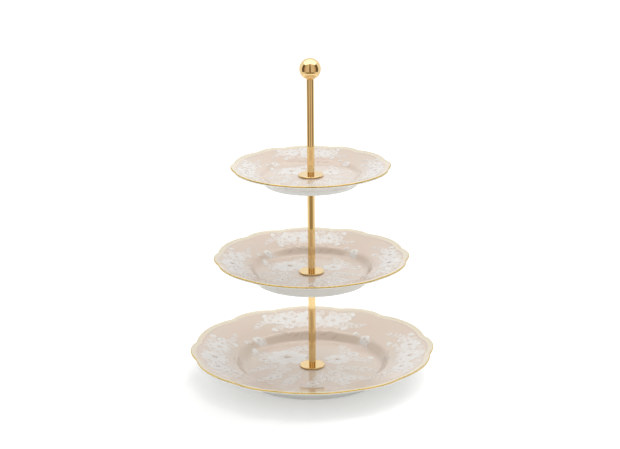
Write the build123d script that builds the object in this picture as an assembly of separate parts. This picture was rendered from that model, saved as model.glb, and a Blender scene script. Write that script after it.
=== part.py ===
from build123d import *

import os
from collections import namedtuple
from math import cos, radians, sin, sqrt

# Three-tier cake stand, in millimetres, +Z up. The origin is on the stem's axis at the plane the
# bottom plate's foot ring stands on. Three porcelain plates with a lobed rim are clamped on a
# stem of three screwed brass tubes, with a ball finial on top.

# ---------------------------------------------------------------- driving sizes

# One plate, with heights above its own foot.
#   radius        over the wide lobes
#   height        of the rim over a wide lobe
#   shoulder      height of the step from the well to the rim
#   thickness     of the floor at the centre
#   clearance     from the foot plane up to the underside of the floor
Plate = namedtuple("Plate", "radius height shoulder thickness clearance")
BOTTOM_PLATE = Plate(radius=132.5, height=30.5, shoulder=17.0, thickness=4.4, clearance=3.4)
MIDDLE_PLATE = Plate(radius=105.0, height=26.2, shoulder=14.8, thickness=4.4, clearance=2.6)
TOP_PLATE = Plate(radius=85.0, height=20.1, shoulder=11.4, thickness=4.0, clearance=4.0)

# Plan of the rim: wide and narrow lobes take turns and meet at shallow cusps.
LOBE_PAIRS = 6
WIDE_LOBE_HALF_ANGLE = 18.0
FIRST_WIDE_LOBE = 33.0
CUSP_SHARE = 0.978
NARROW_LOBE_SHARE = 1.006
CUSP_BLEND = 4.0

# Section of a plate, as shares of its radius or as lengths. LEVEL_TANGENT tells the rim's long
# edges from its short upright ones.
WELL_SHARE = 0.565
SHOULDER_SHARE = 0.632
FOOT_SHARE = 0.59
FOOT_WIDTH = 3.6
FOOT_SLOPE = 1.4
FOOT_ROUNDING = 1.1
WALL = 3.9
UNDER_SHOULDER_SETBACK = 1.95
RIM_EDGE = 2.4
EDGE_ROUNDING = 0.9
WELL_BLEND = 9.0
SHOULDER_BLEND = 10.0
OVERCUT = 3.0
PLATE_HOLE = 7.0
LEVEL_TANGENT = 0.5

# Stem.
TUBE_OUTER = 8.0
TUBE_INNER = 6.0
STAGE_TUBE = 100.0
HANDLE_TUBE = 103.0
TUBE_CHAMFER = 0.25
INSERT_LENGTH = 10.0

# M4 screw threads: two flanks and a flat crest make up the pitch. The female side is a plain bore
# that clears the crests.
THREAD = 4.0
THREAD_PITCH = 0.7
THREAD_DEPTH = 0.4
THREAD_FLANK = 0.28
THREAD_BORE = 4.1
ENGAGED = 8.0
STUD_CHAMFER = 0.5

# Washers, discs and bushes.
DISC_DIAMETER = 27.0
DISC_THICKNESS = 1.5
DISC_ROUNDING = 0.5
CLEAR_BORE = 4.15
SUPPORT_DIAMETER = 20.0
SUPPORT_THICKNESS = 1.2
SEAL_DIAMETER = 18.0
SEAL_THICKNESS = 1.0
SEAL_BORE = 7.0
BUSH_FLANGE = 22.0
BUSH_FLANGE_THICKNESS = 0.5
BUSH_SLEEVE = 6.8
BUSH_DEPTH = 3.4

# Fixing under the bottom plate.
BASE_SEAL_THICKNESS = 0.6
BASE_WASHER_DIAMETER = 16.0
BASE_WASHER_THICKNESS = 0.8
SCREW_HEAD = 9.0
SCREW_HEAD_HEIGHT = 1.5
SCREW_HEAD_ROUNDING = 0.9
RECESS_LENGTH = 4.4
RECESS_WIDTH = 1.0
RECESS_DEPTH = 0.9

# Finial.
BALL_DIAMETER = 23.0
BALL_BORE_DEPTH = 9.5

# ---------------------------------------------------------------- heights up the stem

BUSH_AND_DISC = BUSH_FLANGE_THICKNESS + DISC_THICKNESS
SUPPORT_AND_SEAL = SUPPORT_THICKNESS + SEAL_THICKNESS

bottom_floor = BOTTOM_PLATE.clearance + BOTTOM_PLATE.thickness
lower_tube_z = bottom_floor + BUSH_AND_DISC
middle_support_z = lower_tube_z + STAGE_TUBE
middle_underside = middle_support_z + SUPPORT_AND_SEAL
middle_floor = middle_underside + MIDDLE_PLATE.thickness
middle_tube_z = middle_floor + BUSH_AND_DISC
top_support_z = middle_tube_z + STAGE_TUBE
top_underside = top_support_z + SUPPORT_AND_SEAL
top_floor = top_underside + TOP_PLATE.thickness
top_tube_z = top_floor + BUSH_AND_DISC
finial_z = top_tube_z + HANDLE_TUBE


# ---------------------------------------------------------------- helpers

def polar(radius, angle):
    """A point in plan."""
    return (radius * cos(radians(angle)), radius * sin(radians(angle)))


def ring(outer, inner, thickness):
    """A flat washer standing on Z = 0."""
    face = Circle(outer / 2) - Circle(inner / 2)
    return extrude(face, amount=thickness)


def at_height(shape, z):
    return Pos(0, 0, z) * shape


def thread_profile(length):
    """Half section of a threaded pin from Z = 0, with one V ring for each turn of the thread."""
    crest = THREAD / 2
    root = crest - THREAD_DEPTH
    crest_flat = THREAD_PITCH - 2 * THREAD_FLANK
    points = [(0, 0), (crest - STUD_CHAMFER, 0), (crest, STUD_CHAMFER)]
    z = STUD_CHAMFER + crest_flat
    while z + THREAD_PITCH < length - STUD_CHAMFER:
        points += [(crest, z), (root, z + THREAD_FLANK), (crest, z + 2 * THREAD_FLANK)]
        z += THREAD_PITCH
    points.append((crest, length - STUD_CHAMFER))
    points.append((crest - STUD_CHAMFER, length))
    points.append((0, length))
    return make_face(Polyline(*points, close=True))


def revolved(profile):
    """Turns a section drawn with radius along X and height along Y."""
    return revolve(Plane.XZ * profile, axis=Axis.Z)


# ---------------------------------------------------------------- plates

def lobed_outline(radius):
    """The rim's plan: equal arcs between cusps, wide and narrow by turns, with softened cusps."""
    cusp = radius * CUSP_SHARE
    step = 360.0 / LOBE_PAIRS
    arcs = []
    for k in range(LOBE_PAIRS):
        wide = FIRST_WIDE_LOBE + k * step
        start, end = wide - WIDE_LOBE_HALF_ANGLE, wide + WIDE_LOBE_HALF_ANGLE
        narrow = wide + step / 2
        arcs.append(ThreePointArc(polar(cusp, start), polar(radius, wide), polar(cusp, end)))
        arcs.append(
            ThreePointArc(
                polar(cusp, end),
                polar(radius * NARROW_LOBE_SHARE, narrow),
                polar(cusp, start + step),
            )
        )
    outline = make_face(arcs)
    return fillet(outline.vertices(), CUSP_BLEND)


def plate_section(plate):
    """Half section of a plate from its hole outwards, a little wider than the rim."""
    hole = PLATE_HOLE / 2
    floor = plate.clearance + plate.thickness
    well = plate.radius * WELL_SHARE
    shoulder = plate.radius * SHOULDER_SHARE
    foot = plate.radius * FOOT_SHARE
    slope = (plate.height - plate.shoulder) / (plate.radius - shoulder)
    edge = plate.radius + OVERCUT
    edge_top = plate.height + slope * OVERCUT
    under_shoulder = plate.shoulder - WALL
    points = [
        (hole, floor),
        (well, floor),
        (shoulder, plate.shoulder),
        (edge, edge_top),
        (edge, edge_top - RIM_EDGE),
        (shoulder + UNDER_SHOULDER_SETBACK, under_shoulder),
        (foot + FOOT_SLOPE, plate.clearance),
        (foot, 0),
        (foot - FOOT_WIDTH, 0),
        (foot - FOOT_WIDTH - FOOT_SLOPE, plate.clearance),
        (hole, plate.clearance),
    ]
    section = make_face(Polyline(*points, close=True))
    for corner, blend in (
        ((well, floor), WELL_BLEND),
        ((shoulder, plate.shoulder), SHOULDER_BLEND),
        ((shoulder + UNDER_SHOULDER_SETBACK, under_shoulder), SHOULDER_BLEND),
        ((foot, 0), FOOT_ROUNDING),
        ((foot - FOOT_WIDTH, 0), FOOT_ROUNDING),
    ):
        vertex = section.vertices().sort_by_distance(Vector(*corner, 0))[0]
        section = fillet(vertex, blend)
    return section


def plate_body(plate):
    """A plate turned from its section, then trimmed to the lobed outline with a rounded edge."""
    turned = revolved(plate_section(plate))
    tool = extrude(lobed_outline(plate.radius), amount=plate.height + 2 * OVERCUT)
    body = turned & tool
    inside_rim = plate.radius * (SHOULDER_SHARE + CUSP_SHARE) / 2
    rim_edges = [
        edge for edge in body.edges()
        if min(Vector((edge @ t).X, (edge @ t).Y).length for t in (0, 0.5, 1)) > inside_rim
        and abs((edge % 0.5).Z) < LEVEL_TANGENT
    ]
    return fillet(rim_edges, EDGE_ROUNDING)


# ---------------------------------------------------------------- stem pieces

def tube(length):
    body = ring(TUBE_OUTER, TUBE_INNER, length)
    outer_ends = body.edges().filter_by(GeomType.CIRCLE).sort_by(SortBy.RADIUS)[-2:]
    return chamfer(outer_ends, TUBE_CHAMFER)


def insert():
    """Threaded sleeve fixed in a tube's end."""
    return ring(TUBE_INNER, THREAD_BORE, INSERT_LENGTH)


def stud(length):
    """Threaded pin that joins two tubes through a plate."""
    return revolved(thread_profile(length))


def disc():
    """Polished cover disc on a plate's floor, with a rounded upper edge."""
    body = ring(DISC_DIAMETER, CLEAR_BORE, DISC_THICKNESS)
    rim = body.edges().filter_by(GeomType.CIRCLE).group_by(Axis.Z)[-1].sort_by(SortBy.RADIUS)[-1]
    return fillet(rim, DISC_ROUNDING)


def bush():
    """Nylon top-hat bush that centres a plate on its stud, flange downwards from Z = 0."""
    flange = ring(BUSH_FLANGE, CLEAR_BORE, BUSH_FLANGE_THICKNESS)
    sleeve = at_height(ring(BUSH_SLEEVE, CLEAR_BORE, BUSH_DEPTH), -BUSH_DEPTH)
    return flange + sleeve


def base_screw(length):
    """Pan head screw with its head downwards; Z = 0 is under the head, the thread goes up."""
    head = at_height(Cylinder(SCREW_HEAD / 2, SCREW_HEAD_HEIGHT), -SCREW_HEAD_HEIGHT / 2)
    crown = head.edges().filter_by(GeomType.CIRCLE).sort_by(Axis.Z)[0]
    head = fillet(crown, SCREW_HEAD_ROUNDING)
    cross_z = -SCREW_HEAD_HEIGHT + RECESS_DEPTH / 2
    for angle in (0, 90):
        head -= Pos(0, 0, cross_z) * Rot(0, 0, angle) * Box(RECESS_LENGTH, RECESS_WIDTH, RECESS_DEPTH)
    return head + stud(length)


def finial_ball():
    """Ball with a flat seat the size of the tube and a blind threaded hole. Z = 0 is the seat."""
    radius = BALL_DIAMETER / 2
    centre = sqrt(radius**2 - (TUBE_OUTER / 2) ** 2)
    ball = at_height(Sphere(radius), centre)
    seat_cut = at_height(Box(BALL_DIAMETER, BALL_DIAMETER, BALL_DIAMETER), -BALL_DIAMETER / 2)
    bore = at_height(Cylinder(THREAD_BORE / 2, BALL_BORE_DEPTH), BALL_BORE_DEPTH / 2)
    return ball - seat_cut - bore


# ---------------------------------------------------------------- assembly

def stack_on_plate(name, floor):
    """The bush in a plate's hole and the disc that covers it."""
    return {
        f"{name}_bush": at_height(bush(), floor),
        f"{name}_disc": at_height(disc(), floor + BUSH_FLANGE_THICKNESS),
    }


def stage(name, z, length):
    """A tube with its two threaded inserts."""
    return {
        f"{name}_tube": at_height(tube(length), z),
        f"{name}_tube_foot_insert": at_height(insert(), z),
        f"{name}_tube_head_insert": at_height(insert(), z + length - INSERT_LENGTH),
    }


def support_under_plate(name, z, plate):
    """The disc and seal that carry a plate on a tube, and the stud through them."""
    stud_length = 2 * ENGAGED + SUPPORT_AND_SEAL + plate.thickness + BUSH_AND_DISC
    return {
        f"{name}_support": at_height(ring(SUPPORT_DIAMETER, CLEAR_BORE, SUPPORT_THICKNESS), z),
        f"{name}_seal": at_height(
            ring(SEAL_DIAMETER, SEAL_BORE, SEAL_THICKNESS), z + SUPPORT_THICKNESS
        ),
        f"{name}_stud": at_height(stud(stud_length), z - ENGAGED),
    }


def base_fixing():
    """Seal, washer and screw that clamp the bottom plate to the lower tube."""
    seal_z = BOTTOM_PLATE.clearance - BASE_SEAL_THICKNESS
    washer_z = seal_z - BASE_WASHER_THICKNESS
    return {
        "base_seal": at_height(ring(SEAL_DIAMETER, SEAL_BORE, BASE_SEAL_THICKNESS), seal_z),
        "base_washer": at_height(
            ring(BASE_WASHER_DIAMETER, CLEAR_BORE, BASE_WASHER_THICKNESS), washer_z
        ),
        "base_screw": at_height(base_screw(lower_tube_z + ENGAGED - washer_z), washer_z),
    }


parts = {
    "bottom_plate": plate_body(BOTTOM_PLATE),
    "middle_plate": at_height(plate_body(MIDDLE_PLATE), middle_underside - MIDDLE_PLATE.clearance),
    "top_plate": at_height(plate_body(TOP_PLATE), top_underside - TOP_PLATE.clearance),
    **base_fixing(),
    **stack_on_plate("bottom", bottom_floor),
    **stage("lower", lower_tube_z, STAGE_TUBE),
    **support_under_plate("middle", middle_support_z, MIDDLE_PLATE),
    **stack_on_plate("middle", middle_floor),
    **stage("middle", middle_tube_z, STAGE_TUBE),
    **support_under_plate("top", top_support_z, TOP_PLATE),
    **stack_on_plate("top", top_floor),
    **stage("top", top_tube_z, HANDLE_TUBE),
    "finial_stud": at_height(stud(2 * ENGAGED), finial_z - ENGAGED),
    "finial_ball": at_height(finial_ball(), finial_z),
}

os.makedirs("parts", exist_ok=True)
for node, shape in parts.items():
    export_step(shape, f"parts/{node}.step")
print("height", round(finial_z, 2), "tube foot heights", lower_tube_z, middle_tube_z, top_tube_z)
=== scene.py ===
"""A three-tier porcelain cake stand: lobed plates with gilt edges and raised white flowers, on
a screwed brass stem."""

import math
import random

import bmesh
import bpy
import numpy as np
from bpy.props import FloatProperty, FloatVectorProperty, IntProperty, PointerProperty
from mathutils import Matrix, Vector


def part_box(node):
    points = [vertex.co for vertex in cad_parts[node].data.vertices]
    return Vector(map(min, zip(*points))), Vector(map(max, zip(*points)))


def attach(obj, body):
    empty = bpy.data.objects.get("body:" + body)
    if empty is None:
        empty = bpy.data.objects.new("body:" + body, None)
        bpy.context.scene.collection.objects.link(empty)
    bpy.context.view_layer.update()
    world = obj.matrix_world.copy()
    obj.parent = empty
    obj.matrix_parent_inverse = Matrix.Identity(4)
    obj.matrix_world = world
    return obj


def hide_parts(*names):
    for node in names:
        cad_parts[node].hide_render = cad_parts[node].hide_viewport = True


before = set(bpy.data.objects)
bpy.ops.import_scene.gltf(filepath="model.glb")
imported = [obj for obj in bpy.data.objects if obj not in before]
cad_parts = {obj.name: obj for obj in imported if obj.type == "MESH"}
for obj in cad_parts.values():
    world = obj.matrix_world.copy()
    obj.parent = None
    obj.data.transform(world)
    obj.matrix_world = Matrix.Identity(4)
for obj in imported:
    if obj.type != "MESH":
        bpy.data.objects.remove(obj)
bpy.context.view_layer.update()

bl_info = {
    "name": "Tiered Cake Stand",
    "version": (1, 0, 0),
    "blender": (4, 5, 0),
    "location": "View3D > Sidebar > Cake Stand",
    "description": "Builds a porcelain cake stand with gilt edges on a screwed brass stem",
    "category": "Object",
}

MM = 0.001


FULL_TURN = 2 * math.pi

# Plates, in millimetres. The flowers are drawn to the bottom plate's size.
BOTTOM_RADIUS = 132.5
WELL_SHARE = 0.565
SHOULDER_SHARE = 0.632
FOOT_SHARE = 0.59
HOLE = 3.5
RIM_EDGE = 2.4
EDGE_ROUND = 0.9
WALL = 3.9
PAST_EDGE = 3.0

# The rim's outline: wide and narrow arcs by turns, which meet in soft cusps.
LOBE_PAIRS = 6
PAIR = FULL_TURN / LOBE_PAIRS
WIDE_HALF = math.radians(18.0)
NARROW_HALF = math.radians(12.0)
FIRST_WIDE = math.radians(33.0)
CUSP_SHARE = 0.978
NARROW_SHARE = 1.006
CUSP_SOFTNESS = 1.6
INSIDE_CAD = 0.06

# The moulding by the rim, and the mesh rows that carry it, by distance in from the edge.
BEAD_WIDTH = 0.75
HOLLOW_DEPTH = 0.25
HOLLOW_WIDTH = 1.6
FLUTE_DEPTH = 0.25
FLUTE_WIDTH = math.radians(1.7)
MOULDED_ROWS = (13.0, 11.0, 9.5, 8.4, 7.7, 7.2, 6.8, 6.5, 6.2, 5.9, 5.6, 5.2, 4.7, 4.1, 3.4, 2.7,
                2.1, 1.6, 1.2, EDGE_ROUND)

# The stem's fittings, in millimetres. All but the depths and heights are radii.
SCREW_CLEAR = 2.08
TUBE_BORE = 3.0
BUSH_SLEEVE = 3.4
BUSH_FLANGE_HEIGHT = 0.5
BALL = 11.5
BALL_SEAT = 4.0
BALL_TAP = 2.05
BALL_TAP_DEPTH = 9.5
SCREW = 2.0
SCREW_HEAD = 4.5
SCREW_HEAD_HEIGHT = 1.5
THREAD_DEPTH = 0.4
THREAD_TAPER = 0.5
ON_AXIS = 1e-6

# The studio, in metres.
TABLE_HALF = 8.0
KEY_HEADING = (-0.38, -0.50, -1.0)
CAMERA_ASIDE = -0.00134
FULL_FRAME_MM = 36.0
WHITE = (1.0, 1.0, 1.0)
BACKDROP = 1.1
PANEL_BOOST = 1.15
# Painted reflection: the tones that glossy rays see on the table near the stand, towards the room
# in front and towards the white walls.
PAINTED_REFLECTION_FRONT = (0.36, 0.29, 0.18)
PAINTED_REFLECTION_WALLS = (1.0, 0.97, 0.93)
# What mirrors see of the room, from straight in front (0) to straight behind (1).
ROOM_TONES = (
    (0.0, (0.20, 0.13, 0.06)), (0.03, (0.24, 0.16, 0.08)), (0.07, (0.80, 0.73, 0.66)),
    (0.25, (0.74, 0.62, 0.52)), (0.33, (0.46, 0.35, 0.25)), (0.40, (0.13, 0.09, 0.06)),
    (0.50, (0.11, 0.10, 0.08)), (0.55, WHITE),
)


# ---------------------------------------------------------------- what each plate is

class PlateShape:
    """One plate's section in millimetres, with heights above its own foot."""

    def __init__(self, node, body, radius, height, shoulder, thickness, clearance, seed):
        self.node = node
        self.body = body
        self.radius = radius
        self.scale = radius / BOTTOM_RADIUS
        self.shoulder_z = shoulder
        self.floor = clearance + thickness
        self.clearance = clearance
        self.foot_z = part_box(node)[0].z / MM
        self.seed = seed
        self.well = radius * WELL_SHARE
        self.shoulder = radius * SHOULDER_SHARE
        self.foot = radius * FOOT_SHARE
        slope = (height - shoulder) / (radius - self.shoulder)
        self.past_edge = (radius + PAST_EDGE, height + slope * PAST_EDGE)


PLATES = (
    PlateShape("bottom_plate", "base", radius=BOTTOM_RADIUS, height=30.5, shoulder=17.0,
               thickness=4.4, clearance=3.4, seed=11),
    PlateShape("middle_plate", "middle_tier", radius=105.0, height=26.2, shoulder=14.8,
               thickness=4.4, clearance=2.6, seed=23),
    PlateShape("top_plate", "top_tier", radius=85.0, height=20.1, shoulder=11.4,
               thickness=4.0, clearance=4.0, seed=37),
)


# ---------------------------------------------------------------- settings

class PorcelainSettings(bpy.types.PropertyGroup):
    ground: FloatVectorProperty(
        name="Ground", description="Beige laid over the plates' faces", subtype="COLOR",
        size=3, min=0, max=1, default=(0.72, 0.585, 0.49))
    ground_cool: FloatVectorProperty(
        name="Cool ground", description="Greyer tone the beige drifts to", subtype="COLOR",
        size=3, min=0, max=1, default=(0.70, 0.60, 0.50))
    body_white: FloatVectorProperty(
        name="Body white", description="Porcelain where no ground is laid", subtype="COLOR",
        size=3, min=0, max=1, default=(0.66, 0.66, 0.63))
    margin: FloatVectorProperty(
        name="Margin", description="Cream band between the gilding and the moulded thread",
        subtype="COLOR", size=3, min=0, max=1, default=(0.77, 0.69, 0.53))
    thread_inset: FloatProperty(
        name="Thread inset", description="From the edge to the moulded thread",
        default=6.2 * MM, unit="LENGTH")
    thread_height: FloatProperty(
        name="Thread height", description="How far the moulded thread stands up",
        default=0.30 * MM, unit="LENGTH")
    columns: IntProperty(
        name="Columns", description="Mesh columns round each plate", default=684, min=120)


class GildingSettings(bpy.types.PropertyGroup):
    gold: FloatVectorProperty(
        name="Gold", description="Burnished gold on the plates' edges", subtype="COLOR",
        size=3, min=0, max=1, default=(0.66, 0.47, 0.13))
    band: FloatProperty(
        name="Band", description="Width of the gold on the plate's face",
        default=0.9 * MM, unit="LENGTH")
    film: FloatProperty(
        name="Film", description="Thickness of the gold", default=0.05 * MM, unit="LENGTH")


class FlowerSettings(bpy.types.PropertyGroup):
    enamel: FloatVectorProperty(
        name="Enamel", description="White of the flowers", subtype="COLOR",
        size=3, min=0, max=1, default=(0.80, 0.78, 0.755))
    line: FloatVectorProperty(
        name="Line", description="Rosy brown of the veins and hearts", subtype="COLOR",
        size=3, min=0, max=1, default=(0.58, 0.45, 0.37))
    relief: FloatProperty(
        name="Relief", description="Height of one layer of petals",
        default=0.16 * MM, unit="LENGTH")


class StemSettings(bpy.types.PropertyGroup):
    gold_plate: FloatVectorProperty(
        name="Gold plate", description="Polished plating of the tubes, discs and ball",
        subtype="COLOR", size=3, min=0, max=1, default=(0.87, 0.64, 0.315))
    raw_brass: FloatVectorProperty(
        name="Raw brass", description="Turned brass that isn't plated", subtype="COLOR",
        size=3, min=0, max=1, default=(0.66, 0.48, 0.22))
    thread_pitch: FloatProperty(
        name="Thread pitch", description="Rise of the screw threads in one turn",
        default=0.7 * MM, unit="LENGTH")
    columns: IntProperty(
        name="Columns", description="Mesh columns round each turned piece", default=128, min=24)


class StudioSettings(bpy.types.PropertyGroup):
    glow: FloatProperty(
        name="Table glow", description="Light that comes up through the table", default=0.22)
    floor: FloatVectorProperty(
        name="Floor", description="Table top the stand is on", subtype="COLOR",
        size=3, min=0, max=1, default=(0.93, 0.93, 0.93))
    key: FloatProperty(
        name="Key", description="Light that falls on the table from the large overhead scrim",
        default=1.05)
    key_spread: FloatProperty(
        name="Key spread", description="Angle that the scrim fills, seen from the stand",
        default=math.radians(55), unit="ROTATION")
    fill: FloatProperty(
        name="Fill", description="Light that the white walls send back", default=0.80)
    camera_distance: FloatProperty(
        name="Camera distance", description="From the stem to the camera, level",
        default=1.757, unit="LENGTH")
    camera_height: FloatProperty(
        name="Camera height", description="Camera above the table", default=0.7089, unit="LENGTH")
    camera_pitch: FloatProperty(
        name="Camera pitch", description="How far the camera looks down",
        default=math.radians(17.04), unit="ROTATION")
    camera_roll: FloatProperty(
        name="Camera roll", description="Turn about the line of sight",
        default=math.radians(-0.459), unit="ROTATION")
    lens: FloatProperty(
        name="Lens", description="Focal length", default=99.38, unit="CAMERA")


# ---------------------------------------------------------------- mesh helpers

def smoothstep(low, high, x):
    """0 below low, 1 above high, and a smooth ramp between."""
    t = np.clip((x - low) / (high - low), 0, 1)
    return t * t * (3 - 2 * t)


def swell(offset, width):
    """A soft ridge, 1 at offset 0 and fading over its width."""
    return np.exp(-((offset / width) ** 2))


def place_object(name, data):
    made = bpy.data.objects.new(name, data)
    bpy.context.scene.collection.objects.link(made)
    return made


def new_piece(name, vertices, faces, body, material, sharp_above=None):
    """A mesh object from millimetre vertices that rides on a body of the stand."""
    mesh = bpy.data.meshes.new(name)
    mesh.from_pydata((np.asarray(vertices, float) * MM).tolist(), [], faces)
    mesh.validate()
    mesh.shade_smooth()
    if sharp_above is not None:
        mark_sharp(mesh, sharp_above)
    piece = place_object(name, mesh)
    mesh.materials.append(material)
    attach(piece, body)
    return piece


def mark_sharp(mesh, degrees):
    """Keeps an edge crisp where its two faces meet at more than this angle."""
    work = bmesh.new()
    work.from_mesh(mesh)
    for edge in work.edges:
        edge.smooth = not (edge.is_manifold and edge.calc_face_angle() > math.radians(degrees))
    work.to_mesh(mesh)
    work.free()


def round_turn(columns):
    """The angles of columns evenly spaced round the stem."""
    return np.linspace(0, FULL_TURN, columns, endpoint=False)


def grid_faces(rows, columns, wrap_rows, wrap_columns, first=0):
    """Quads over a grid of vertices stored row by row."""
    faces = []
    for i in range(rows if wrap_rows else rows - 1):
        below = first + i * columns
        above = first + ((i + 1) % rows) * columns
        for j in range(columns if wrap_columns else columns - 1):
            k = (j + 1) % columns
            faces.append((below + j, below + k, above + k, above + j))
    return faces


def write_attribute(piece, name, values):
    """A number on each vertex, for the materials to read."""
    layer = piece.data.attributes.new(name, "FLOAT", "POINT")
    layer.data.foreach_set("value", np.asarray(values, np.float32).ravel())


def rounded(corners, closed, steps=5, guard=0.05):
    """A section from (radius, height, blend) corners: each blend is an arc, with a point just
    before and after it so that the flats on either side stay flat in the light."""
    points = []
    count = len(corners)
    for i, (r, z, blend) in enumerate(corners):
        here = np.array((r, z), float)
        if blend <= 0 or (not closed and i in (0, count - 1)):
            points.append(here)
            continue
        back = np.array(corners[i - 1][:2], float) - here
        ahead = np.array(corners[(i + 1) % count][:2], float) - here
        back /= np.linalg.norm(back)
        ahead /= np.linalg.norm(ahead)
        half = math.acos(np.clip(back @ ahead, -1, 1)) / 2
        reach = blend / math.tan(half)
        centre = here + (back + ahead) / np.linalg.norm(back + ahead) * blend / math.sin(half)
        start = here + back * reach - centre
        end = here + ahead * reach - centre
        sweep = math.atan2(start[0] * end[1] - start[1] * end[0], start @ end)
        points.append(here + back * (reach + guard))
        for s in range(steps + 1):
            a = sweep * s / steps
            turn = np.array(((math.cos(a), -math.sin(a)), (math.sin(a), math.cos(a))))
            points.append(centre + turn @ start)
        points.append(here + ahead * (reach + guard))
    return points


def spin(section, columns, closed):
    """Vertices and faces of a section of (radius, height) points turned round the stem's axis."""
    vertices, faces, rings = [], [], []
    for r, z in section:
        first = len(vertices)
        if r < ON_AXIS:
            rings.append([first])
            vertices.append((0, 0, z))
        else:
            rings.append(list(range(first, first + columns)))
            vertices += [(r * math.cos(a), r * math.sin(a), z) for a in round_turn(columns)]
    for low, high in zip(rings, rings[1:] + (rings[:1] if closed else [])):
        for j in range(columns):
            k = (j + 1) % columns
            if len(low) == 1:
                faces.append((low[0], high[k], high[j]))
            elif len(high) == 1:
                faces.append((low[j], low[k], high[0]))
            else:
                faces.append((low[j], low[k], high[k], high[j]))
    return vertices, faces


def turned_piece(name, corners, body, material, closed=True, sharp_above=35, steps=5):
    """A piece turned on the lathe from blended corners, given from the bottom, outside first."""
    columns = bpy.context.scene.stand_stem.columns
    vertices, faces = spin(rounded(corners, closed, steps), columns, closed)
    return new_piece(name, vertices, faces, body, material, sharp_above)


def extent(node):
    """A turned CAD node's outer radius, foot and top in millimetres."""
    low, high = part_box(node)
    return high.x / MM, low.z / MM, high.z / MM


def ring_corners(node, inner, blend):
    """The section of a flat ring that fills a CAD node's box, outside first."""
    r, z0, z1 = extent(node)
    return [(inner, z0, blend * 0.5), (r, z0, blend), (r, z1, blend), (inner, z1, blend * 0.5)]


# ---------------------------------------------------------------- material helpers

def feed(tree, socket, value):
    """Links a socket from another, or sets it; a colour may leave out its fourth number."""
    if isinstance(value, bpy.types.NodeSocket):
        tree.links.new(value, socket)
    elif socket.type == "RGBA" and len(value) == 3:
        socket.default_value = (*value, 1)
    else:
        socket.default_value = value


def add(tree, kind, x, y, sockets=(), **settings):
    """A node with its settings, and its sockets fed by name or number."""
    made = tree.nodes.new("ShaderNode" + kind)
    made.location = (x, y)
    for key, value in settings.items():
        setattr(made, key, value)
    for key, value in dict(sockets).items():
        feed(tree, made.inputs[key], value)
    return made


def reckon(tree, operation, x, y, *terms):
    """The result of a Math node."""
    return add(tree, "Math", x, y, enumerate(terms), operation=operation).outputs[0]


def noise_at(tree, place, scale, x, y, **more):
    """A noise's value at a place."""
    sockets = {"Vector": place, "Scale": scale} | more
    return add(tree, "TexNoise", x, y, sockets).outputs["Fac"]


def spread(tree, value, low, high, x, y, first=0.0, last=1.0, smooth=False):
    """A value from low to high stretched to run from first to last."""
    made = add(tree, "MapRange", x, y, {
        "Value": value, "From Min": low, "From Max": high, "To Min": first, "To Max": last,
    }, interpolation_type="SMOOTHSTEP" if smooth else "LINEAR")
    return made.outputs["Result"]


def new_group(name, inputs, outputs):
    """An empty shader group. Inputs are (name, kind, default) and outputs are (name, kind)."""
    tree = bpy.data.node_groups.new(name, "ShaderNodeTree")
    for way, sockets in (("INPUT", inputs), ("OUTPUT", [(*end, None) for end in outputs])):
        for label, kind, default in sockets:
            socket = tree.interface.new_socket(
                name=label, in_out=way, socket_type="NodeSocket" + kind)
            if default is not None:
                socket.default_value = default
    start = tree.nodes.new("NodeGroupInput")
    start.location = (-900, 0)
    end = tree.nodes.new("NodeGroupOutput")
    end.location = (700, 0)
    return tree, start.outputs, end.inputs


def place_group(tree, name, build, x, y, **sockets):
    """A shader group by name, built the first time that a material asks for it."""
    made = add(tree, "Group", x, y, node_tree=bpy.data.node_groups.get(name) or build(name))
    for key, value in sockets.items():
        feed(tree, made.inputs[key.replace("_", " ")], value)
    return made.outputs


def object_place(tree, x=-900, y=-300):
    return add(tree, "TexCoord", x, y).outputs["Object"]


def build_tone_drift(name):
    """A colour that wanders softly between two tones."""
    tree, given, out = new_group(
        name,
        [("First", "Color", None), ("Second", "Color", None), ("Scale", "Float", 30.0),
         ("Balance", "Float", 0.5)],
        [("Colour", "Color")])
    drift = noise_at(tree, object_place(tree), given["Scale"], -650, -100, Detail=3.0,
                     Roughness=0.55)
    drift = spread(tree, drift, 0.35, 0.65, -420, -100)
    weight = reckon(tree, "MULTIPLY", -200, -100, drift, given["Balance"])
    colour = mix_colours(tree, weight, given["First"], given["Second"], 200, 0)
    feed(tree, out["Colour"], colour)
    return tree


def build_glaze_skin(name):
    """The faint orange peel and rare pinholes of a fired glaze."""
    tree, given, out = new_group(
        name, [("Peel Scale", "Float", 350.0), ("Pinhole Scale", "Float", 90.0)],
        [("Height", "Float")])
    place = object_place(tree)
    peel = noise_at(tree, place, given["Peel Scale"], -600, 150, Detail=2.0)
    cells = add(tree, "TexVoronoi", -600, -150, {"Vector": place, "Scale": given["Pinhole Scale"]})
    holes = spread(tree, cells.outputs["Distance"], 0.012, 0.03, -350, -150, 1.0, 0.0)
    feed(tree, out["Height"], reckon(tree, "MULTIPLY_ADD", 100, 60, holes, -0.6, peel))
    return tree


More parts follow.
